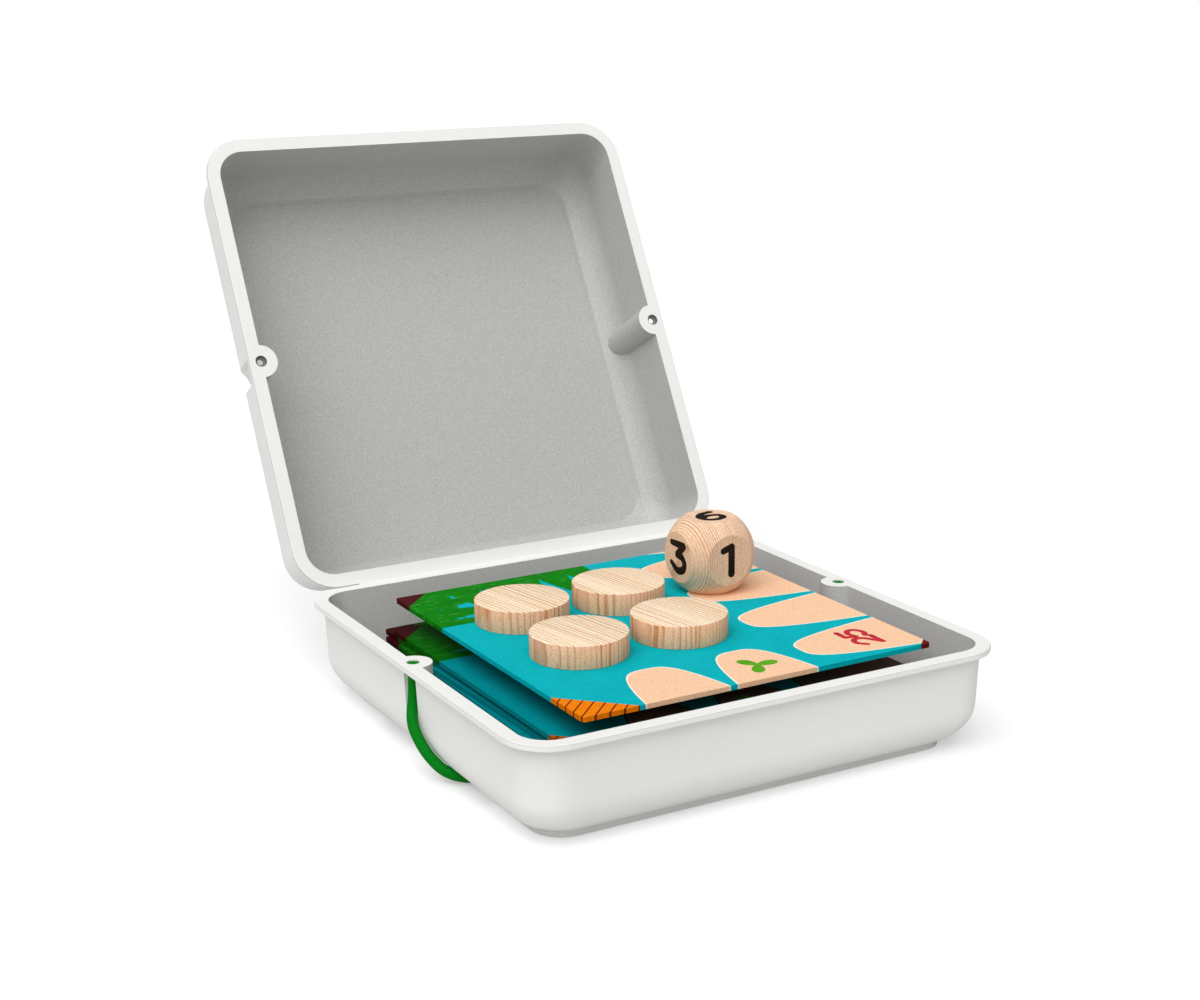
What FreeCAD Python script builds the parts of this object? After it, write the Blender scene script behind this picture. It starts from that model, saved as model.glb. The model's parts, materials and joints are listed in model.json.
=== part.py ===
import FreeCAD, Part
import math
import os
from FreeCAD import Vector

os.makedirs("parts", exist_ok=True)

# Hinged travel case for a guessing game. Millimetres, +Z up, front of the case towards -Y.
# The origin is the middle of the underside that the closed case stands on.

# Case halves: two equal square trays that meet rim to rim
case_width = 134.0
half_height = 26.7
wall = 1.5
rim_overhang = 2.35
rim_thickness = 1.5
rim_corner_radius = 11.9
rim_edge_round = 0.35
body_corner_radius = 10.0
inner_corner_radius = 7.8
draft_angle = 2.0
bottom_round = 10.5
lid_open_angle = 118.5

# Foot: a low plinth under each half, drawn as a matching recess inside
foot_height = 0.95
foot_inset = 9.85
foot_corner_radius = 8.0
recess_inset = 0.55
recess_slope = 0.6

# Strap channels across the underside of the base, raised as two ledges inside
channel_near = 12.0
channel_far = 31.0
channel_roof = 4.0

# Cord posts at the middle of the left and right walls
post_radius = 4.75
post_setback = 0.3
flute_radius = 3.7
hole_diameter = 3.3
pocket_depth = 1.0
neck_hole_diameter = 1.7

# Elastic strap
cord_diameter = 2.8
cord_end_diameter = 3.0
cord_end_height = 0.75
cord_neck_diameter = 1.4
cord_top_gap = 0.2
cord_table_gap = 0.15
cord_side_gap = 2.4
cord_arc_share = 0.45

# Film hinge along the back edge
film_side = 0.8
film_length = 100.0

# Printed boards
board_width = 98.4
board_depth = 104.0
board_thickness = 1.2
board_corner_radius = 1.0
lower_board_count = 12
top_board_x = 2.3
top_board_y = -3.1
top_board_turn = 0.3
pile_shift_x = -2.9
pile_shift_y = -4.0
pile_loose_x = 1.2
pile_loose_y = 3.6
pile_loose_turn = 1.7

# Wooden playing pieces
disc_diameter = 24.65
disc_height = 6.0
disc_pitch_x = 28.6
disc_pitch_y = 30.9
disc_middle_x = -12.1
disc_middle_y = -1.2
die_size = 20.0
die_ball_diameter = 24.3
die_x = 29.9
die_y = 12.9
die_turn = 0.6

# Sizes that follow from those above
half_width = case_width / 2
body_half = half_width - rim_overhang
rim_under = half_height - rim_thickness
foot_half = half_width - foot_inset
post_x = body_half - wall + post_setback
ledge_top = channel_roof + wall
pile_top = ledge_top + lower_board_count * board_thickness
top_board_z = pile_top + disc_height
play_z = top_board_z + board_thickness
cord_z = cord_diameter / 2 + cord_table_gap
Z_AXIS = Vector(0, 0, 1)


def rounded_rectangle(half_x, half_y, radius, z):
    """Closed outline of a rectangle with round corners, lying flat at height z."""
    edges = []
    corner_x = half_x - radius
    corner_y = half_y - radius
    centres = [(corner_x, corner_y), (-corner_x, corner_y), (-corner_x, -corner_y), (corner_x, -corner_y)]

    def at(centre, degrees):
        a = math.radians(degrees)
        return Vector(centre[0] + radius * math.cos(a), centre[1] + radius * math.sin(a), z)

    for i, centre in enumerate(centres):
        start = 90 * i
        arc = Part.Arc(at(centre, start), at(centre, start + 45), at(centre, start + 90))
        edges.append(arc.toShape())
        following = centres[(i + 1) % 4]
        edges.append(Part.makeLine(at(centre, start + 90), at(following, start + 90)))
    return Part.Wire(edges)


def slab(half_x, half_y, radius, low, high):
    """Flat plate with round corners between two heights."""
    face = Part.Face(rounded_rectangle(half_x, half_y, radius, low))
    return face.extrude(Vector(0, 0, high - low))


def bowl(half, corner, high, low, round_radius):
    """Solid tray form: drafted sides down to a round bottom edge, with the same corner radius at every level."""
    tilt = math.radians(draft_angle)
    turn_z = low + round_radius * (1 - math.sin(tilt))
    turn_half = half - (high - turn_z) * math.tan(tilt)
    centre = turn_half - round_radius * math.cos(tilt)
    sides = Part.makeLoft(
        [rounded_rectangle(half, half, corner, high), rounded_rectangle(turn_half, turn_half, corner, turn_z)],
        True,
        True,
    )
    sections = []
    steps = 6
    for i in range(steps + 1):
        a = tilt + (math.pi / 2 - tilt) * i / steps
        level_half = centre + round_radius * math.cos(a)
        level_z = low + round_radius * (1 - math.sin(a))
        sections.append(rounded_rectangle(level_half, level_half, corner, level_z))
    bottom = Part.makeLoft(sections, True, False)
    return sides.fuse(bottom)


def post(radius, side, low, high):
    """Upright round bar at the middle of the left or right wall."""
    return Part.makeCylinder(radius, high - low, Vector(side * post_x, 0, low), Z_AXIS)


def tray(with_channels):
    """One half of the case: a thin moulded tray with a flat outward rim, two cord posts and a low foot."""
    outside = bowl(body_half, body_corner_radius, half_height, foot_height, bottom_round)
    tilt = math.radians(draft_angle)
    inner_half = body_half - wall / math.cos(tilt)
    inside = bowl(inner_half, inner_corner_radius, half_height, foot_height + wall, bottom_round - wall)
    foot = slab(foot_half, foot_half, foot_corner_radius, 0, foot_height + wall)
    floor_half = foot_half - recess_inset - foot_height * recess_slope
    mouth_half = foot_half - recess_inset + wall * recess_slope
    recess = Part.makeLoft(
        [
            rounded_rectangle(floor_half, floor_half, foot_corner_radius, wall),
            rounded_rectangle(mouth_half, mouth_half, foot_corner_radius, foot_height + 2 * wall),
        ],
        True,
        True,
    )
    hollow = inside.fuse(recess)
    rim = slab(half_width, half_width, rim_corner_radius, rim_under, half_height)
    rim_edges = [e for e in rim.Edges if e.BoundBox.ZLength < rim_edge_round]
    rim = rim.makeFillet(rim_edge_round, rim_edges)
    hinge_bed = Part.makeBox(
        film_length, rim_overhang, rim_thickness, Vector(-film_length / 2, half_width - rim_overhang, rim_under)
    )
    rim = rim.fuse(hinge_bed)
    shell = outside.fuse(foot).cut(hollow)
    shell = shell.fuse(rim.cut(inside))
    full = outside.fuse(rim)
    for side in (-1, 1):
        shell = shell.fuse(post(post_radius, side, foot_height + wall / 2, half_height).common(full))
    for side in (-1, 1):
        shell = shell.cut(post(flute_radius, side, -1, rim_under))
    if with_channels:
        for side in (-1, 1):
            low_y = min(side * channel_near, side * channel_far)
            long_y = channel_far - channel_near
            ledge = Part.makeBox(
                case_width,
                long_y + 2 * wall,
                ledge_top - wall / 2,
                Vector(-half_width, low_y - wall, wall / 2),
            )
            shell = shell.fuse(ledge.common(outside))
            channel = Part.makeBox(case_width, long_y, channel_roof + 1, Vector(-half_width, low_y, -1))
            shell = shell.cut(channel)
    for side in (-1, 1):
        shell = shell.cut(post(hole_diameter / 2, side, half_height - pocket_depth, half_height + 1))
        shell = shell.cut(post(neck_hole_diameter / 2, side, rim_under - 1, half_height))
    return shell.removeSplitter()


def rounded_path(points):
    """Straight runs through the points, joined by tangent arcs. Returns the wire and the arc radii."""
    edges = []
    radii = []
    here = points[0]
    for i in range(1, len(points) - 1):
        before = points[i - 1] - points[i]
        after = points[i + 1] - points[i]
        reach = cord_arc_share * min(before.Length, after.Length)
        before.normalize()
        after.normalize()
        half_turn = (math.pi - before.getAngle(after)) / 2
        radius = reach / math.tan(half_turn)
        radii.append(radius)
        start = points[i] + before * reach
        end = points[i] + after * reach
        inward = before + after
        inward.normalize()
        middle = points[i] + inward * (radius / math.cos(half_turn) - radius)
        edges.append(Part.makeLine(here, start))
        edges.append(Part.Arc(start, middle, end).toShape())
        here = end
    edges.append(Part.makeLine(here, points[-1]))
    return Part.Wire(edges), radii


# Case halves. The lid is the plain tray turned over on its back edge and held open.
base_tray = tray(True)
hinge_line = Vector(0, half_width, half_height)
lid_shell = tray(False).mirror(Vector(0, 0, half_height), Z_AXIS)
lid_shell.rotate(hinge_line, Vector(1, 0, 0), -lid_open_angle)

# Film hinge: a thin web in the wedge between the two rim edges
film_a = Vector(-film_length / 2, half_width, half_height)
film_b = film_a - Vector(0, 0, film_side)
lean = math.radians(lid_open_angle)
film_c = film_a + Vector(0, film_side * math.sin(lean), film_side * math.cos(lean))
film_hinge = Part.Face(Part.makePolygon([film_a, film_b, film_c, film_a])).extrude(Vector(film_length, 0, 0))

# Elastic strap: round cord from hole to hole, slack, lying on the table and passing under the base
cord_high = rim_under - cord_top_gap
cord_front = channel_far - cord_diameter / 2 - cord_side_gap
left_route = [
    Vector(-post_x, 0, cord_high),
    Vector(-post_x, 0, 19.1),
    Vector(-post_x - 2.55, -3.2, 12.9),
    Vector(-post_x - 2.35, -7.2, 9.1),
    Vector(-post_x - 1.25, -10.7, 5.8),
    Vector(-post_x + 1.05, -14.9, 2.8),
    Vector(-post_x + 5.8, -18.1, 1.65),
    Vector(-post_x + 11.5, -20.0, cord_z),
    Vector(-post_x + 20.0, -22.2, cord_z),
    Vector(-post_x + 31.5, -24.6, cord_z),
    Vector(-16.5, -cord_front + 0.8, cord_z),
    Vector(0, -cord_front, cord_z),
]
right_route = [Vector(-p.x, p.y, p.z) for p in reversed(left_route[:-1])]
cord_route = left_route + right_route
cord_line, cord_radii = rounded_path(cord_route)
cord_section = Part.Wire(Part.makeCircle(cord_diameter / 2, cord_route[0], Vector(0, 0, -1)))
strap_cord = cord_line.makePipeShell([cord_section], True, True)
cord_volume = math.pi * cord_diameter**2 / 4 * cord_line.Length

# Strap ends: a head in the pocket of the rim and a neck down through it
pocket_floor = half_height - pocket_depth


def strap_end(side):
    head = post(cord_end_diameter / 2, side, pocket_floor, pocket_floor + cord_end_height)
    neck = post(cord_neck_diameter / 2, side, cord_high, pocket_floor)
    return head.fuse(neck).removeSplitter()


def board(x, y, turn, low):
    """Printed board lying flat, turned a little about its middle."""
    plate = slab(board_width / 2, board_depth / 2, board_corner_radius, 0, board_thickness)
    plate.rotate(Vector(0, 0, 0), Z_AXIS, turn)
    plate.translate(Vector(x, y, low))
    return plate


def disc(column, row, low):
    """Flat wooden disc in one of the four places of a two by two square."""
    x = disc_middle_x + column * disc_pitch_x / 2
    y = disc_middle_y + row * disc_pitch_y / 2
    return Part.makeCylinder(disc_diameter / 2, disc_height, Vector(x, y, low), Z_AXIS)


def die():
    """Wooden cube with its corners turned round by a ball."""
    cube = Part.makeBox(die_size, die_size, die_size, Vector(-die_size / 2, -die_size / 2, -die_size / 2))
    solid = cube.common(Part.makeSphere(die_ball_diameter / 2))
    solid.rotate(Vector(0, 0, 0), Z_AXIS, die_turn)
    solid.translate(Vector(die_x, die_y, play_z + die_size / 2))
    return solid


nodes = {
    "base_tray": base_tray,
    "lid_shell": lid_shell,
    "film_hinge": film_hinge,
    "strap_cord": strap_cord,
    "strap_end_left": strap_end(-1),
    "strap_end_right": strap_end(1),
    "top_board": board(top_board_x, top_board_y, top_board_turn, top_board_z),
    "die": die(),
}

# Lower boards: a loose pile, each a little off the one below
for i in range(lower_board_count):
    from_top = lower_board_count - 1 - i
    x = top_board_x + pile_shift_x + pile_loose_x * math.sin(1.7 * from_top)
    y = top_board_y + pile_shift_y + pile_loose_y * (1 - math.cos(2.4 * from_top))
    turn = top_board_turn + pile_loose_turn * math.sin(1.2 * from_top)
    nodes["board_%02d" % (i + 1)] = board(x, y, turn, ledge_top + i * board_thickness)

# Discs: four in play on the top board and four put away between the boards
places = {"back_left": (-1, 1), "back_right": (1, 1), "front_left": (-1, -1), "front_right": (1, -1)}
for place, (column, row) in places.items():
    nodes["disc_" + place] = disc(column, row, play_z)
    nodes["stored_disc_" + place] = disc(column, row, pile_top)

print("cord length", round(cord_line.Length, 1), "radii", [round(r, 1) for r in cord_radii])
print("cord volume", round(strap_cord.Volume, 1), "section x length", round(cord_volume, 1))
for name, shape in nodes.items():
    shape.exportStep("parts/%s.step" % name)
    print(name, shape.isValid(), len(shape.Solids), round(shape.Volume, 1), shape.BoundBox)
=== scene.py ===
import json
import math
import bpy
import bmesh
from mathutils import Matrix, Vector


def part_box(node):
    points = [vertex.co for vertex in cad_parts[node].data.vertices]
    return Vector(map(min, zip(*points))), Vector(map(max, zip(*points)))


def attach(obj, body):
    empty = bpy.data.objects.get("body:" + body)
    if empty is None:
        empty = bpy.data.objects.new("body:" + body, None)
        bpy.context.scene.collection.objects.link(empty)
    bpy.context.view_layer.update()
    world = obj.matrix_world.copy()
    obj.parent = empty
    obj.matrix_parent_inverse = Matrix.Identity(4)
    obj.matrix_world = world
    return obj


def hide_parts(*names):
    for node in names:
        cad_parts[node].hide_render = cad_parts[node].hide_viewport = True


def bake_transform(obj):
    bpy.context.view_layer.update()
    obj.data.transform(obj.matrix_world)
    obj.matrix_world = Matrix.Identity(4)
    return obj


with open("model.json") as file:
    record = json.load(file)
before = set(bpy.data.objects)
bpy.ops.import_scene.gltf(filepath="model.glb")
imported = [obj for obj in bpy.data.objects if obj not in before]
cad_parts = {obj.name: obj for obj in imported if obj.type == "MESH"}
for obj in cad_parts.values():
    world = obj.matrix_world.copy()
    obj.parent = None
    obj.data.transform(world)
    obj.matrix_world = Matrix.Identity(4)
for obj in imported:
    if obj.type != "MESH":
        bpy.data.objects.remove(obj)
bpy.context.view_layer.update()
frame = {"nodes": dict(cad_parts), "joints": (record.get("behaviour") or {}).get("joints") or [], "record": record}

# Case halves: two square trays moulded in white polypropylene, one turned over to make the lid.
# The mould was spark eroded, which leaves a fine satin grain on every face, inside and out.

MM = 0.001
FACTOR, UNDER, OVER, MIXED = 0, 6, 7, 2  # sockets of a Mix node for colours


def linear(colour):
    """Linear RGBA of an sRGB hex colour."""
    parts = [int(colour[i:i + 2], 16) / 255 for i in (1, 3, 5)]
    return [c / 12.92 if c <= 0.04045 else ((c + 0.055) / 1.055) ** 2.4 for c in parts] + [1.0]


def add(tree, kind, inputs=None, output=None, **settings):
    """Adds one shader node, and returns it or one of its outputs.

    An input is a number, a hex colour or a wire.
    """
    made = tree.nodes.new("ShaderNode" + kind)
    for name, value in settings.items():
        setattr(made, name, value)
    for socket, value in (inputs or {}).items():
        if isinstance(value, bpy.types.NodeSocket):
            tree.links.new(value, made.inputs[socket])
        else:
            made.inputs[socket].default_value = linear(value) if isinstance(value, str) else value
    return made if output is None else made.outputs[output]


def start_material(name):
    """A new empty material, and the node tree that its shader goes into."""
    made = bpy.data.materials.new(name)
    made.use_nodes = True
    made.node_tree.nodes.clear()
    return made, made.node_tree


def moulded_polypropylene():
    """White polypropylene with a spark-eroded grain, satin white; inside, painted shade makes it greyer and more
    specked.
    """
    grain_width = 0.5 * MM  # the real grain is finer and would not show
    flow_width = 30 * MM
    grain_depth = 0.03 * MM
    made, tree = start_material("white_polypropylene")
    place = add(tree, "TexCoord", output="Object")
    # The inside attribute holds painted shade: it mixes the white towards the grey below and darkens the specks.
    painted_shade_inside = add(tree, "Attribute", output="Fac", attribute_name="inside")
    grain = add(tree, "TexNoise", {"Vector": place, "Scale": 1 / grain_width, "Detail": 2.0}, "Fac")
    flow = add(tree, "TexNoise", {"Vector": place, "Scale": 1 / flow_width, "Detail": 1.0}, "Fac")
    white = add(tree, "Mix", {FACTOR: flow, UNDER: "#efefec", OVER: "#f4f4f1"}, MIXED, data_type="RGBA")
    grey = add(
        tree, "Mix", {FACTOR: painted_shade_inside, UNDER: white, OVER: "#c3c3c1"}, MIXED,
        data_type="RGBA", clamp_factor=False,
    )
    darkest = add(tree, "MapRange", {"Value": painted_shade_inside, "To Min": 0.98, "To Max": 0.81}, "Result")
    speck_and_shade = add(
        tree, "MapRange",
        {"Value": grain, "From Min": 0.35, "From Max": 0.65, "To Min": darkest, "To Max": 1.0}, "Result",
    )
    shade = add(
        tree, "Mix", {FACTOR: 1.0, UNDER: grey, OVER: speck_and_shade}, MIXED,
        data_type="RGBA", blend_type="MULTIPLY",
    )
    rough = add(
        tree, "MapRange",
        {"Value": grain, "From Min": 0.3, "From Max": 0.7, "To Min": 0.45, "To Max": 0.6}, "Result",
    )
    bump = add(tree, "Bump", {"Height": grain, "Strength": 0.25, "Distance": grain_depth}, "Normal")
    skin = add(
        tree, "BsdfPrincipled",
        {"Base Color": shade, "Roughness": rough, "Normal": bump, "IOR": 1.49}, "BSDF",
    )
    add(tree, "OutputMaterial", {"Surface": skin})
    return made


hinge = frame["joints"][0]
hinge_line = Vector(hinge["pos_m"])
open_angle = math.radians(-hinge["range_deg"][0])
post_x = 63.45 * MM
flute_reach = 4.2 * MM
post_reach = 5.0 * MM
bore_reach = 1.7 * MM
rim_depth = 0.05 * MM
facing_up = 0.3
facing_in = 0.3
facing_down = -0.1
# Shares of painted shade inside the base and inside the lid.
base_painted_shade = 0.6
lid_painted_shade = 1.0
# The lid's bores get painted shade past the full grey, which turns them dark grey.
lid_bore_painted_shade = 1.9


def mark_painted_shade(half, to_tray, share, bore_shade):
    """Stores on each face its share of painted shade: inside the tray, in the bores of the rim, and 0 elsewhere.
    """
    data = frame["nodes"][half].data
    turn = to_tray.to_3x3()
    values = []
    for face in data.polygons:
        spot = to_tray @ face.center
        out = turn @ face.normal
        from_post = math.hypot(abs(spot.x) - post_x, spot.y)
        flute = from_post < flute_reach
        column = from_post < post_reach and abs(spot.x) < post_x and out.z > facing_down
        to_middle = -(out.x * spot.x + out.y * spot.y)
        inward = out.z > facing_up or to_middle > facing_in * math.hypot(spot.x, spot.y)
        painted_shade_inside = (inward or column) and not flute and spot.z < hinge_line.z - rim_depth
        values.append(bore_shade if from_post < bore_reach else share if painted_shade_inside else 0.0)
    data.attributes.new("inside", "FLOAT", "FACE").data.foreach_set("value", values)


plastic = moulded_polypropylene()
shut = Matrix.Translation(hinge_line) @ Matrix.Rotation(open_angle, 4, "X") @ Matrix.Translation(-hinge_line)
turned_over = Matrix.Translation((0, 0, 2 * hinge_line.z)) @ Matrix.Diagonal((1, 1, -1, 1))
# The faces inside the trays get painted shade, and so do the bores in the lid's rim.
mark_painted_shade("base_tray", Matrix(), base_painted_shade, 0.0)
mark_painted_shade("lid_shell", turned_over @ shut, lid_painted_shade, lid_bore_painted_shade)
for half in ("base_tray", "lid_shell"):
    frame["nodes"][half].material_slots[0].material = plastic

# Film hinge: the plastic runs on as a thin bending web from the back edge of one rim to the other.
# It is part of the same moulding, so it has the same white.

film_low, film_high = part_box("film_hinge")
film_length = film_high.x - film_low.x
film_reach = hinge_line.z - film_low.z
film_root = 0.12 * MM
film_steps = 6


def piece(name, mesh, body, replaced=()):
    """Makes a finished bmesh an object, hides the parts that it replaces, and lets it ride on a body of the case
    when one is given.
    """
    data = bpy.data.meshes.new(name)
    mesh.to_mesh(data)
    mesh.free()
    made = bpy.data.objects.new(name, data)
    bpy.context.scene.collection.objects.link(made)
    if replaced:
        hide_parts(*replaced)
    if body:
        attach(made, body)
    return made


def bending_web():
    """The web as a fan of steps about the hinge line, open as far as the lid is at rest."""
    mesh = bmesh.new()
    first = Vector((film_low.x, hinge_line.y, hinge_line.z))
    near = mesh.verts.new(first - Vector((0, 0, film_root)))
    far = mesh.verts.new(first - Vector((0, 0, film_reach)))
    root = mesh.edges.new((near, far))
    bmesh.ops.spin(
        mesh, geom=[near, far, root], cent=first, axis=(1, 0, 0), angle=math.pi - open_angle,
        steps=film_steps, use_merge=False,
    )
    grown = bmesh.ops.extrude_face_region(mesh, geom=mesh.faces[:])
    moved = [v for v in grown["geom"] if isinstance(v, bmesh.types.BMVert)]
    bmesh.ops.translate(mesh, verts=moved, vec=(film_length, 0, 0))
    bmesh.ops.recalc_face_normals(mesh, faces=mesh.faces)
    return mesh


film = piece("film_hinge_web", bending_web(), None, ["film_hinge"])
film.data.materials.append(plastic)
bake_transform(film)

# Strap: a round elastic cord of rubber threads under a knitted green cover, fixed in the rim of the base.
# It hangs slack from hole to hole, lies on the table and passes under the base.

cord_diameter = 2.8 * MM
left_route = [
    (-63.45, 0.0, 25.0),
    (-63.45, 0.0, 19.1),
    (-66.0, -3.2, 12.9),
    (-65.8, -7.2, 9.1),
    (-64.7, -10.7, 5.8),
    (-62.4, -14.9, 2.8),
    (-57.65, -18.1, 1.65),
    (-51.95, -20.0, 1.55),
    (-43.45, -22.2, 1.55),
    (-31.95, -24.6, 1.55),
    (-16.5, -26.4, 1.55),
    (0.0, -27.2, 1.55),
]
right_route = [(-x, y, z) for x, y, z in reversed(left_route[:-1])]
band_unit = 0.314  # a TexWave of scale 1 repeats its bands at this distance


def elastic_cover():
    """Green knitted polyester over rubber: a matte, slightly furry cover with fine slanted ribs."""
    rib_pitch = 0.9 * MM  # the real ribs are finer and would not show
    rib_depth = 0.1 * MM
    fuzz_width = 0.5 * MM
    made, tree = start_material("green_elastic")
    place = add(tree, "TexCoord", output="Object")
    fuzz = add(tree, "TexNoise", {"Vector": place, "Scale": 1 / fuzz_width, "Detail": 3.0}, "Fac")
    ribs = add(
        tree, "TexWave",
        {"Vector": place, "Scale": band_unit / rib_pitch, "Distortion": 1.5, "Detail Scale": 1.0}, "Fac",
        wave_type="BANDS", bands_direction="DIAGONAL",
    )
    green = add(tree, "Mix", {FACTOR: fuzz, UNDER: "#006611", OVER: "#00861a"}, MIXED, data_type="RGBA")
    bump = add(tree, "Bump", {"Height": ribs, "Strength": 0.25, "Distance": rib_depth}, "Normal")
    skin = add(
        tree, "BsdfPrincipled",
        {"Base Color": green, "Normal": bump, "Roughness": 0.6, "IOR": 1.5, "Specular IOR Level": 0.06},
        "BSDF",
    )
    add(tree, "OutputMaterial", {"Surface": skin})
    return made


elastic = elastic_cover()
line = bpy.data.curves.new("elastic_strap", "CURVE")
line.dimensions = "3D"
line.bevel_depth = cord_diameter / 2
line.bevel_resolution = 6
line.use_fill_caps = True
run = line.splines.new("NURBS")
route = left_route + right_route
run.points.add(len(route) - 1)
for point, (x, y, z) in zip(run.points, route):
    point.co = (x * MM, y * MM, z * MM, 1.0)
run.order_u = 3
run.use_endpoint_u = True
run.resolution_u = 10
line.materials.append(elastic)
strap = bpy.data.objects.new("elastic_strap", line)
bpy.context.scene.collection.objects.link(strap)
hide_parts("strap_cord")
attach(strap, "base")
for end in ("strap_end_left", "strap_end_right"):
    frame["nodes"][end].material_slots[0].material = elastic

# Boards: stiff card with a printed and varnished face, die cut to one size and stacked loose.
# Each print has a turquoise ground, round scallops on two sides, leaves at the back and coloured corners.
# The top board also has a plain number, printed in red.

board_names = sorted(n for n in frame["nodes"] if n.startswith("board_")) + ["top_board"]
in_millimetres = (1 / MM, 1 / MM, 1 / MM)  # scale of a Mapping node from metres
board_width = 98.4
board_depth = 104.0
scallop_pitch = 25.0
scallop_gap = 1.4
scallop_round = 3.4
brim_width = 0.45
front_depth = 20.0
front_middle = -8.5
front_half = 25.0
right_depth = 30.0
right_middle = -2.0
leaf_pitch = 9.0
leaf_depth = 26.0
leaf_root = 1.2
leaf_end_x = 8.0
leaf_end_y = 22.0
sprig_x = 4.0
sprig_y = -43.0
sprig_radius = 3.3
sprig_swing = 2.3
sprig_lobes = 3.0
front_left_corner = 15.0
back_left_corner = 9.0
front_right_corner = 3.0
plank_pitch = 1.9
plank_gap = 0.3


def scallops(tree, along, inward, depth, gap):
    """Mask of round-ended scallops that stand on one edge, with a gap between their feet."""
    half = scallop_pitch / 2
    wave = add(tree, "Math", {0: along, 1: half}, "Value", operation="PINGPONG")
    aside = add(tree, "Math", {0: half, 1: wave}, "Value", operation="SUBTRACT")
    share = add(tree, "Math", {0: aside, 1: half - gap}, "Value", operation="DIVIDE")
    drop = add(tree, "Math", {0: share, 1: scallop_round}, "Value", operation="POWER")
    left_over = add(tree, "Math", {0: 1.0, 1: drop}, "Value", operation="SUBTRACT")
    reach = add(tree, "Math", {0: left_over, 1: depth}, "Value", operation="MULTIPLY")
    return add(tree, "Math", {0: inward, 1: reach}, "Value", operation="LESS_THAN")


def leaf_tips(tree, along, inward):
    """Mask of pointed leaves that stand close together on one edge."""
    half = leaf_pitch / 2
    wave = add(tree, "Math", {0: along, 1: half}, "Value", operation="PINGPONG")
    grown = add(tree, "Math", {0: wave, 1: leaf_root}, "Value", operation="ADD")
    reach = add(tree, "Math", {0: grown, 1: leaf_depth / (half + leaf_root)}, "Value", operation="MULTIPLY")
    return add(tree, "Math", {0: inward, 1: reach}, "Value", operation="LESS_THAN")


def sprig(tree, x, y):
    """Mask of one three-lobed leaf."""
    aside = add(tree, "Math", {0: x, 1: sprig_x}, "Value", operation="SUBTRACT")
    ahead = add(tree, "Math", {0: y, 1: sprig_y}, "Value", operation="SUBTRACT")
    offset = add(tree, "CombineXYZ", {"X": aside, "Y": ahead}, "Vector")
    distance = add(tree, "VectorMath", {0: offset}, "Value", operation="LENGTH")
    angle = add(tree, "Math", {0: ahead, 1: aside}, "Value", operation="ARCTAN2")
    turns = add(tree, "Math", {0: angle, 1: sprig_lobes}, "Value", operation="MULTIPLY")
    lobe = add(tree, "Math", {0: turns}, "Value", operation="COSINE")
    reach = add(tree, "Math", {0: lobe, 1: sprig_swing, 2: sprig_radius}, "Value", operation="MULTIPLY_ADD")
    return add(tree, "Math", {0: distance, 1: reach}, "Value", operation="LESS_THAN")


def corner_mask(tree, first, second, size):
    """Mask of a corner cut off straight, from the distances to its two edges."""
    both = add(tree, "Math", {0: first, 1: second}, "Value", operation="ADD")
    return add(tree, "Math", {0: both, 1: size}, "Value", operation="LESS_THAN")


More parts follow.
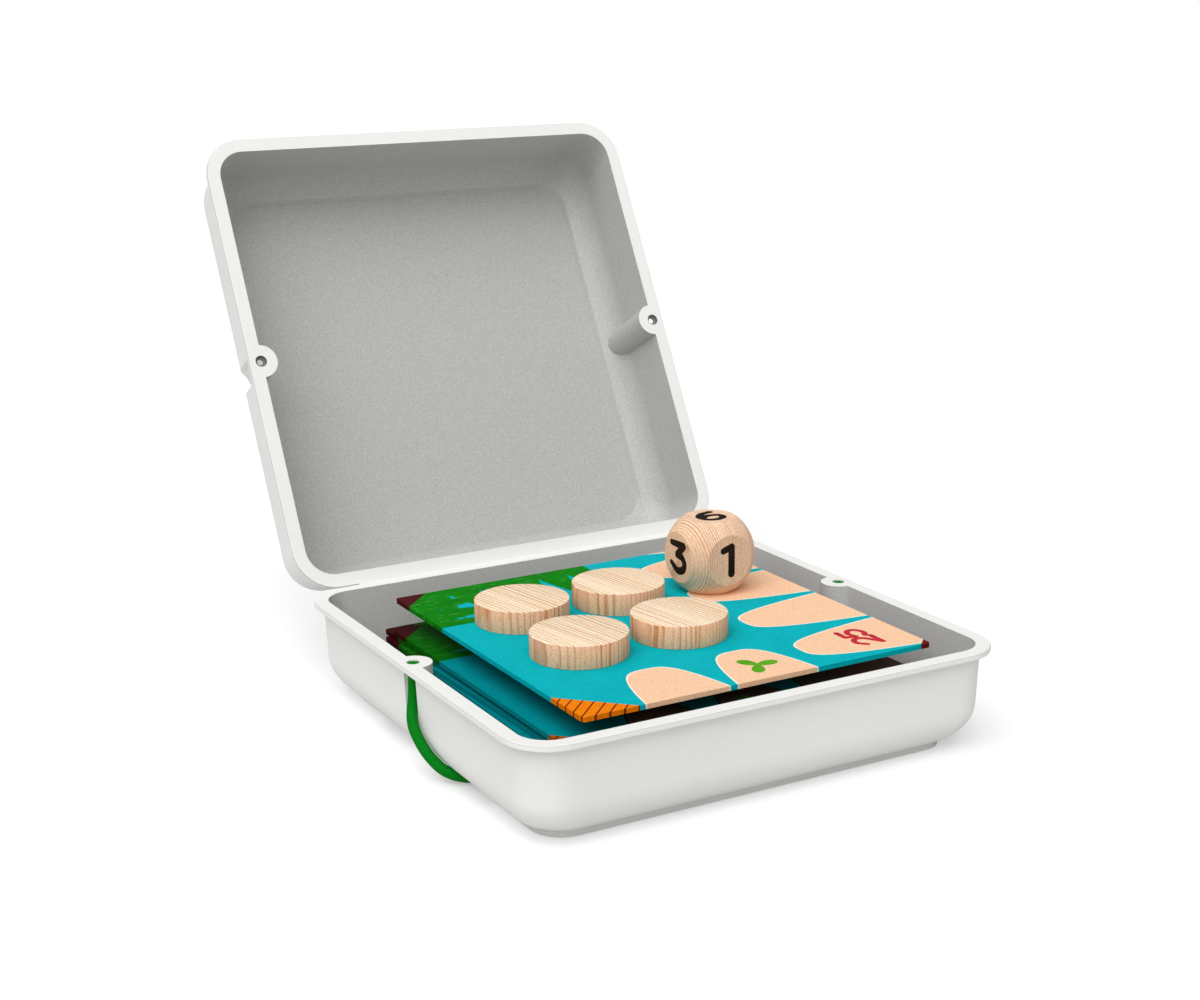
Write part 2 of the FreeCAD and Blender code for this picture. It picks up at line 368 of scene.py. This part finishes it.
def printed_card(name, middle, shore, brim, corner, painted_shade_factor):
    """Offset print on card under a matte varnish: strong colours, a little mottling and a soft sheen."""
    mottle_width = 7.0
    fleck_width = 0.5  # the real print dots are finer and would not show
    fleck_depth = 0.05 * MM
    # The fleck range is scaled by a factor of painted shade, which darkens the lower boards of the pile.
    darkest, lightest = 0.82 * painted_shade_factor, 1.08 * painted_shade_factor
    warm_share = 0.4
    vein_scale = 0.7
    vein_turn = (0, 0, 0.9)
    vein_stretch = (0.25, 3.0, 1.0)
    vein_above = 0.66
    to_middle = (-middle.x / MM, -middle.y / MM, 0)
    made, tree = start_material(name)
    place = add(tree, "TexCoord", output="Object")
    local = add(
        tree, "Mapping",
        {"Vector": place, "Location": to_middle, "Scale": in_millimetres}, "Vector",
    )
    parts = add(tree, "SeparateXYZ", {"Vector": local}).outputs
    x, y = parts["X"], parts["Y"]
    right = add(tree, "Math", {0: board_width / 2, 1: x}, "Value", operation="SUBTRACT")
    left = add(tree, "Math", {0: board_width / 2, 1: x}, "Value", operation="ADD")
    front = add(tree, "Math", {0: board_depth / 2, 1: y}, "Value", operation="ADD")
    back = add(tree, "Math", {0: board_depth / 2, 1: y}, "Value", operation="SUBTRACT")
    mottle = add(
        tree, "TexNoise",
        {"Vector": local, "Scale": 1 / mottle_width, "Detail": 6.0, "Roughness": 0.65}, "Fac",
    )
    fleck = add(tree, "TexNoise", {"Vector": local, "Scale": 1 / fleck_width, "Detail": 2.0}, "Fac")

    warm = add(tree, "Math", {0: mottle, 1: warm_share}, "Value", operation="MULTIPLY")
    sand = add(tree, "Mix", {FACTOR: warm, UNDER: shore, OVER: "#ffd9b4"}, MIXED, data_type="RGBA")
    front_along = add(tree, "Math", {0: x, 1: front_middle}, "Value", operation="SUBTRACT")
    right_along = add(tree, "Math", {0: y, 1: right_middle}, "Value", operation="SUBTRACT")
    in_row = add(tree, "Math", {0: x, 1: front_middle, 2: front_half}, "Value", operation="COMPARE")
    layers = []
    for colour, wider in ((brim, brim_width), (sand, 0.0)):
        row = scallops(tree, front_along, front, front_depth + wider, scallop_gap - wider)
        layers.append((add(tree, "Math", {0: row, 1: in_row}, "Value", operation="MULTIPLY"), colour))
        layers.append((scallops(tree, right_along, right, right_depth + wider, scallop_gap - wider), colour))

    lime = add(tree, "Mix", {FACTOR: mottle, UNDER: "#3f8f12", OVER: "#74c02e"}, MIXED, data_type="RGBA")
    layers.append((sprig(tree, x, y), lime))

    slant = add(tree, "Mapping", {"Vector": local, "Rotation": vein_turn, "Scale": vein_stretch}, "Vector")
    streak = add(tree, "TexNoise", {"Vector": slant, "Scale": vein_scale, "Detail": 2.0}, "Fac")
    vein = add(tree, "Math", {0: streak, 1: vein_above}, "Value", operation="GREATER_THAN")
    dark = add(tree, "Mix", {FACTOR: mottle, UNDER: "#016203", OVER: "#08980c"}, MIXED, data_type="RGBA")
    leaf_green = add(tree, "Mix", {FACTOR: vein, UNDER: dark, OVER: "#5fb84e"}, MIXED, data_type="RGBA")
    to_left = add(tree, "Math", {0: x, 1: leaf_end_x}, "Value", operation="LESS_THAN")
    to_back = add(tree, "Math", {0: y, 1: leaf_end_y}, "Value", operation="GREATER_THAN")
    back_leaf = add(tree, "Math", {0: leaf_tips(tree, x, back), 1: to_left}, "Value", operation="MULTIPLY")
    left_leaf = add(tree, "Math", {0: leaf_tips(tree, y, left), 1: to_back}, "Value", operation="MULTIPLY")
    leaves = add(tree, "Math", {0: back_leaf, 1: left_leaf}, "Value", operation="MAXIMUM")
    layers.append((leaves, leaf_green))

    across = add(tree, "Math", {0: left, 1: front}, "Value", operation="SUBTRACT")
    plank = add(tree, "Math", {0: across, 1: plank_pitch}, "Value", operation="PINGPONG")
    gap = add(tree, "Math", {0: plank, 1: plank_gap}, "Value", operation="LESS_THAN")
    planks = add(tree, "Mix", {FACTOR: gap, UNDER: corner, OVER: "#7a2f0c"}, MIXED, data_type="RGBA")
    layers.append((corner_mask(tree, left, front, front_left_corner), planks))
    layers.append((corner_mask(tree, left, back, back_left_corner), "#4e1014"))
    layers.append((corner_mask(tree, right, front, front_right_corner), "#6b1a1a"))

    ink = add(tree, "Mix", {FACTOR: mottle, UNDER: "#00a6b3", OVER: "#00c0c9"}, MIXED, data_type="RGBA")
    for where, colour in layers:
        ink = add(tree, "Mix", {FACTOR: where, UNDER: ink, OVER: colour}, MIXED, data_type="RGBA")
    grain = add(
        tree, "MapRange",
        {"Value": fleck, "From Min": 0.3, "From Max": 0.7, "To Min": darkest, "To Max": lightest}, "Result",
    )
    shade = add(
        tree, "Mix", {FACTOR: 1.0, UNDER: ink, OVER: grain}, MIXED,
        data_type="RGBA", blend_type="MULTIPLY",
    )
    bump = add(tree, "Bump", {"Height": fleck, "Strength": 0.12, "Distance": fleck_depth}, "Normal")
    skin = add(
        tree, "BsdfPrincipled",
        {"Base Color": shade, "Normal": bump, "Roughness": 0.6, "IOR": 1.5, "Specular IOR Level": 0.03},
        "BSDF",
    )
    add(tree, "OutputMaterial", {"Surface": skin})
    return made


shores = ["#4a2018", "#6a3a20", "#3d1716"]
corners = ["#f58206", "#e0701a", "#c8561a"]
# Painted shade on the lower boards of the pile: the lower a board lies, the darker its print is painted; the top
# board has none.
lowest_shade_factor = 0.35
shade_factor_rise = 0.25
for i, name in enumerate(board_names):
    board_low, board_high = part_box(name)
    shore = brim = shores[i % len(shores)]
    painted_shade_factor = lowest_shade_factor + shade_factor_rise * i / len(board_names)
    if name == "top_board":
        shore, brim, painted_shade_factor = "#fdcca6", "#fff2e2", 1.0
    corner = corners[(len(board_names) - 1 - i) % len(corners)]
    card = printed_card("print_" + name, (board_low + board_high) / 2, shore, brim, corner, painted_shade_factor)
    frame["nodes"][name].material_slots[0].material = card

digit_strokes = {
    1: [[(-0.27, 0.4), (0.08, 0.5), (0.08, -0.5)]],
    2: [[(-0.38, 0.24), (0.0, 0.5), (0.36, 0.2), (-0.4, -0.5)], [(-0.4, -0.5), (0.42, -0.5)]],
    3: [
        [(-0.44, 0.5), (0.4, 0.5), (-0.06, 0.1)],
        [(-0.06, 0.1), (0.32, 0.02), (0.44, -0.24), (0.06, -0.5), (-0.46, -0.28)],
    ],
    4: [[(0.18, -0.5), (0.18, 0.5), (-0.42, -0.2), (0.44, -0.2)]],
    5: [
        [(0.36, 0.5), (-0.28, 0.5), (-0.34, 0.06)],
        [(-0.34, 0.06), (0.1, 0.14), (0.38, -0.18), (0.02, -0.5), (-0.4, -0.36)],
    ],
    6: [
        [(0.3, 0.5), (-0.16, 0.36), (-0.42, -0.12), (-0.02, -0.5), (0.42, -0.18), (0.04, 0.1), (-0.4, -0.12)],
    ],
}
digit_round = {2: [0], 3: [1], 5: [1], 6: [0]}


def numeral(digit, height, stroke, thickness, to_place):
    """A numeral drawn with one flat round pen, as a thin mesh laid on a face by the matrix."""
    size = height - stroke
    seam = 0.001 * MM
    pen = bpy.data.curves.new("pen", "CURVE")
    pen.dimensions = "3D"
    pen.bevel_depth = stroke / 2
    pen.bevel_resolution = 3
    pen.use_fill_caps = True
    for i, points in enumerate(digit_strokes[digit]):
        curved = i in digit_round.get(digit, [])
        for run in [points] if curved else zip(points, points[1:]):
            line = pen.splines.new("BEZIER")
            line.bezier_points.add(len(run) - 1)
            for knot, (x, y) in zip(line.bezier_points, run):
                knot.co = (x * size, y * size, 0)
                knot.handle_left_type = knot.handle_right_type = "AUTO" if curved else "VECTOR"
    drawn = bpy.data.objects.new("pen", pen)
    bpy.context.scene.collection.objects.link(drawn)
    bpy.context.view_layer.update()
    flat = bpy.data.meshes.new_from_object(drawn.evaluated_get(bpy.context.evaluated_depsgraph_get()))
    bpy.data.objects.remove(drawn)
    mesh = bmesh.new()
    mesh.from_mesh(flat)
    bpy.data.meshes.remove(flat)
    bmesh.ops.remove_doubles(mesh, verts=mesh.verts, dist=seam)
    for x, y in sorted({point for points in digit_strokes[digit] for point in points}):
        dot = Matrix.Translation((x * size, y * size, 0))
        bmesh.ops.create_uvsphere(mesh, u_segments=20, v_segments=10, radius=stroke / 2, matrix=dot)
    bmesh.ops.scale(mesh, verts=mesh.verts, vec=(1, 1, thickness / stroke))
    bmesh.ops.transform(mesh, matrix=to_place, verts=mesh.verts)
    bmesh.ops.recalc_face_normals(mesh, faces=mesh.faces)
    return mesh


def flat_frame(origin, right, up):
    """The matrix that lays a drawing on a flat face: its middle, its right and its up."""
    turn = Matrix((right, up, right.cross(up))).transposed().to_4x4()
    return Matrix.Translation(origin) @ turn


def red_ink():
    """Red printing ink on the card: a plain matte red."""
    blot_width = 0.6 * MM
    made, tree = start_material("red_ink")
    place = add(tree, "TexCoord", output="Object")
    blot = add(tree, "TexNoise", {"Vector": place, "Scale": 1 / blot_width, "Detail": 2.0}, "Fac")
    red = add(tree, "Mix", {FACTOR: blot, UNDER: "#b8202c", OVER: "#d43c48"}, MIXED, data_type="RGBA")
    skin = add(
        tree, "BsdfPrincipled", {"Base Color": red, "Roughness": 0.6, "Specular IOR Level": 0.03}, "BSDF",
    )
    add(tree, "OutputMaterial", {"Surface": skin})
    return made


EAST, NORTH, SKY = Vector((1, 0, 0)), Vector((0, 1, 0)), Vector((0, 0, 1))
number_height = 8.0 * MM
number_stroke = 1.6 * MM
number_pitch = 6.0 * MM
number_offset = Vector((37, -39)) * MM
ink_depth = 0.06 * MM
top_low, top_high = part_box("top_board")
top_middle = (top_low + top_high) / 2
number_middle = Vector((top_middle.x + number_offset.x, top_middle.y + number_offset.y, top_high.z))
red = red_ink()
for i, digit in enumerate((2, 5)):
    digit_middle = number_middle + NORTH * (i - 0.5) * number_pitch
    inked = numeral(digit, number_height, number_stroke, ink_depth, flat_frame(digit_middle, NORTH, -EAST))
    mark = piece("board_numeral_%d" % digit, inked, "play_board")
    mark.data.materials.append(red)

# Discs: slices of bare pine, turned, sawn and sanded, with the edges barely broken.
# Four are in play on the top board and four are put away under it.

disc_edge = 0.25 * MM
disc_segments = 128
disc_sharp = 30


def bare_pine(name, along, tints, pitch, bold_share):
    """Sanded bare pine: pale cream, fine straight year lines, a few bold ones, and painted shade with a painted
    warm tint on the side faces.
    """
    sway_width = 8.0
    streak_widths = 5.0, 2.2, 0.7
    pore_width = 0.4  # the real pores are finer and would not show
    stretch = (1.0, 0.014, 0.03)
    line_depth = 0.05 * MM
    made, tree = start_material(name)
    spots = add(tree, "TexCoord").outputs
    local = add(
        tree, "Mapping",
        {"Vector": spots["Object"], "Rotation": along, "Scale": in_millimetres}, "Vector",
    )
    drawn = add(tree, "Mapping", {"Vector": local, "Scale": stretch}, "Vector")
    sway = add(tree, "TexNoise", {"Vector": local, "Scale": 1 / sway_width, "Detail": 1.0}, "Color")
    bent = add(tree, "VectorMath", {0: sway, 1: (0.5, 0, 0), 2: drawn}, "Vector", operation="MULTIPLY_ADD")
    years = add(
        tree, "TexWave",
        {"Vector": bent, "Scale": band_unit / pitch, "Distortion": 6.0, "Detail": 2.0, "Detail Scale": 0.8},
        "Fac", wave_type="BANDS", bands_direction="X", wave_profile="SAW",
    )
    wide, middling, narrow = [
        add(tree, "TexNoise", {"Vector": bent, "Scale": 1 / width, "Detail": 1.0}, "Fac")
        for width in streak_widths
    ]
    pores = add(tree, "TexNoise", {"Vector": local, "Scale": 1 / pore_width, "Detail": 1.0}, "Fac")
    facing = add(tree, "SeparateXYZ", {"Vector": spots["Normal"]}, "Z")
    level = {"facing": add(tree, "Math", {0: facing}, "Value", operation="ABSOLUTE")}
    ranges = {
        "edge": ("facing", 0.3, 0.8, 1.0, 0.0),
        "fine_here": ("edge", 0.0, 1.0, 1.0, 0.62),
        "bold_here": ("edge", 0.0, 1.0, 0.4, 1.0),
        "band": (years, 0.64, 0.94, 0.0, 1.0),
        "patch": (middling, 0.35, 0.65, 0.3, 1.0),
        "cream": (wide, 0.35, 0.65, 0.0, 1.0),
        "bold": (narrow, 0.62, 0.68, 0.0, bold_share),
        "pore": (pores, 0.5, 0.62, 0.0, 1.0),
    }
    for key, (value, low, high, bottom, top) in ranges.items():
        source = level[value] if isinstance(value, str) else value
        numbers = {"Value": source, "From Min": low, "From Max": high, "To Min": bottom, "To Max": top}
        level[key] = add(tree, "MapRange", numbers, "Result")
    fine = add(tree, "Math", {0: level["band"], 1: level["patch"]}, "Value", operation="MULTIPLY")
    fine_shown = add(tree, "Math", {0: fine, 1: level["fine_here"]}, "Value", operation="MULTIPLY")
    bold_shown = add(tree, "Math", {0: level["bold"], 1: level["bold_here"]}, "Value", operation="MULTIPLY")
    pale, cream, line_brown, bold_brown, side_shade_tint = tints
    wood = add(tree, "Mix", {FACTOR: level["cream"], UNDER: pale, OVER: cream}, MIXED, data_type="RGBA")
    # The last tint multiplies the faces that face sideways: painted shade with a painted warm tint against the
    # turquoise light bounced from the boards.
    for where, colour, blend in (
        (fine_shown, line_brown, "MIX"),
        (bold_shown, bold_brown, "MIX"),
        (level["pore"], "#f2e6da", "MULTIPLY"),
        (level["edge"], side_shade_tint, "MULTIPLY"),
    ):
        wood = add(
            tree, "Mix", {FACTOR: where, UNDER: wood, OVER: colour}, MIXED,
            data_type="RGBA", blend_type=blend,
        )
    bump = add(tree, "Bump", {"Height": fine, "Strength": 0.25, "Distance": line_depth}, "Normal")
    skin = add(
        tree, "BsdfPrincipled",
        {"Base Color": wood, "Normal": bump, "Roughness": 0.62, "IOR": 1.5, "Specular IOR Level": 0.15},
        "BSDF",
    )
    add(tree, "OutputMaterial", {"Surface": skin})
    return made


def turned_disc(node):
    """A disc as large as its solid, with both edges broken."""
    disc_low, disc_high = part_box(node)
    radius = (disc_high.x - disc_low.x) / 2
    mesh = bmesh.new()
    bmesh.ops.create_cone(
        mesh, cap_ends=True, segments=disc_segments, radius1=radius, radius2=radius,
        depth=disc_high.z - disc_low.z, matrix=Matrix.Translation((disc_low + disc_high) / 2),
    )
    rims = [e for e in mesh.edges if abs(e.verts[0].co.z - e.verts[1].co.z) < disc_edge]
    bmesh.ops.bevel(mesh, geom=rims, offset=disc_edge, segments=2, profile=0.5, affect="EDGES", material=-1)
    return mesh


def shade_smooth(made, angle):
    """Smooth shading, kept crisp at edges sharper than the angle in degrees."""
    made.data.polygons.foreach_set("use_smooth", [True] * len(made.data.polygons))
    made.data.set_sharp_from_angle(angle=math.radians(angle))


# The fifth tint is painted shade and a painted warm tint on the sides of the discs.
pine_tints = ("#ffecd2", "#ffe7c8", "#b0702f", "#d0904c", "#fad9ca")
pine_grain = (0, 0, math.radians(-10))
pine = bare_pine("bare_pine", pine_grain, pine_tints, pitch=1.2, bold_share=0.7)
for body, members in frame["record"]["behaviour"]["bodies"].items():
    for node in members:
        if "disc_" in node:
            disc = piece("turned_" + node, turned_disc(node), body, [node])
            disc.data.materials.append(pine)
            shade_smooth(disc, disc_sharp)

# Die: a pine cube tumbled to round corners, with a flat round on each face.
# The numerals are burnt in with a hot stamp, so they are dark brown and lie flush with the wood.

die_low, die_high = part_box("die")
die_middle = (die_low + die_high) / 2
die_half = (die_high.z - die_low.z) / 2
numeral_height = 9.5 * MM
numeral_stroke = 2.2 * MM
burn_depth = 0.16 * MM
burn_sink = 0.02 * MM
# The fifth tint is a light painted shade on the die's side faces.
die_tints = ("#f8d4b6", "#fcddc3", "#a66a44", "#d39763", "#f5f0ed")
die_grain = (0, math.radians(3), math.radians(-4))
die_pine = bare_pine("die_pine", die_grain, die_tints, pitch=0.62, bold_share=0.3)
frame["nodes"]["die"].material_slots[0].material = die_pine


def burnt_wood():
    """Pine charred by a hot stamp: a matte dark brown that is a little uneven."""
    patch_width = 0.8 * MM
    made, tree = start_material("burnt_pine")
    place = add(tree, "TexCoord", output="Object")
    patch = add(tree, "TexNoise", {"Vector": place, "Scale": 1 / patch_width, "Detail": 3.0}, "Fac")
    brown = add(tree, "Mix", {FACTOR: patch, UNDER: "#150d08", OVER: "#2c1d13"}, MIXED, data_type="RGBA")
    skin = add(
        tree, "BsdfPrincipled",
        {"Base Color": brown, "Roughness": 0.8, "IOR": 1.5, "Specular IOR Level": 0.1}, "BSDF",
    )
    add(tree, "OutputMaterial", {"Surface": skin})
    return made


die_faces = {
    1: (EAST, SKY),
    2: (-EAST, SKY),
    3: (-NORTH, SKY),
    4: (NORTH, SKY),
    5: (EAST, -NORTH),
    6: (EAST, NORTH),
}
char = burnt_wood()
for digit, (face_right, face_up) in die_faces.items():
    face_middle = die_middle + face_right.cross(face_up) * (die_half - burn_sink)
    to_face = flat_frame(face_middle, face_right, face_up)
    burnt = numeral(digit, numeral_height, numeral_stroke, burn_depth, to_face)
    mark = piece("die_numeral_%d" % digit, burnt, "die_piece")
    mark.data.materials.append(char)

# Studio: the case stands on a pale floor, lit softly from all round, with a large lamp high at the front
# left and a weaker one above. The camera stands where it stood for the picture, a little left of the front.

floor_size = 6.0
floor_drop = 0.1 * MM
floor_glow = 0.36
sky_light = 0.36
grid = bmesh.new()
bmesh.ops.create_grid(grid, x_segments=1, y_segments=1, size=floor_size / 2)
floor_data = bpy.data.meshes.new("floor")
grid.to_mesh(floor_data)
grid.free()
floor_data.transform(Matrix.Translation((0, 0, -floor_drop)))
floor = bpy.data.objects.new("floor", floor_data)
bpy.context.scene.collection.objects.link(floor)

paper, paper_tree = start_material("studio_paper")
seen = add(paper_tree, "LightPath", output="Is Camera Ray")
glow = add(paper_tree, "Math", {0: seen, 1: floor_glow}, "Value", operation="MULTIPLY")
sheet = add(
    paper_tree, "BsdfPrincipled",
    {"Base Color": "#d8d8d8", "Roughness": 1.0, "Emission Color": "#ffffff", "Emission Strength": glow},
    "BSDF",
)
add(paper_tree, "OutputMaterial", {"Surface": sheet})
floor_data.materials.append(paper)

world = bpy.data.worlds.new("studio")
bpy.context.scene.world = world
world.use_nodes = True
sky_tree = world.node_tree
sky_tree.nodes.clear()
seen = add(sky_tree, "LightPath", output="Is Camera Ray")
level = add(sky_tree, "MapRange", {"Value": seen, "To Min": sky_light, "To Max": 1.0}, "Result")
sky = add(sky_tree, "Background", {"Color": "#ffffff", "Strength": level}, "Background")
add(sky_tree, "OutputWorld", {"Surface": sky})


def soft_lamp(name, way, power, spread):
    """A distant lamp: the way to it, its power and its spread in degrees."""
    lamp = bpy.data.lights.new(name, "SUN")
    lamp.energy = power
    lamp.angle = math.radians(spread)
    made = bpy.data.objects.new(name, lamp)
    made.matrix_world = Vector(way).to_track_quat("Z", "Y").to_matrix().to_4x4()
    bpy.context.scene.collection.objects.link(made)


soft_lamp("key_lamp", (-0.32, 0.28, 0.9), power=0.45, spread=60)
soft_lamp("front_lamp", (-0.40, -0.42, 0.815), power=2.2, spread=60)

eye = Vector((-238.93, -412.64, 183.49)) * MM
target = Vector((-10.81, 0.0, 60.13)) * MM
roll = math.radians(-0.825)
ahead = (target - eye).normalized()
level_right = ahead.cross(SKY).normalized()
level_up = level_right.cross(ahead)
view_right = level_right * math.cos(roll) + level_up * math.sin(roll)
view_up = level_up * math.cos(roll) - level_right * math.sin(roll)
view = bpy.data.cameras.new("camera")
view.lens = 58.06
view.sensor_width = 36.0
view.sensor_fit = "HORIZONTAL"
view.clip_start = 0.01
camera = bpy.data.objects.new("camera", view)
camera.matrix_world = Matrix.Translation(eye) @ Matrix((view_right, view_up, -ahead)).transposed().to_4x4()
bpy.context.scene.collection.objects.link(camera)
bpy.context.scene.camera = camera
bpy.context.scene.view_settings.view_transform = "Standard"
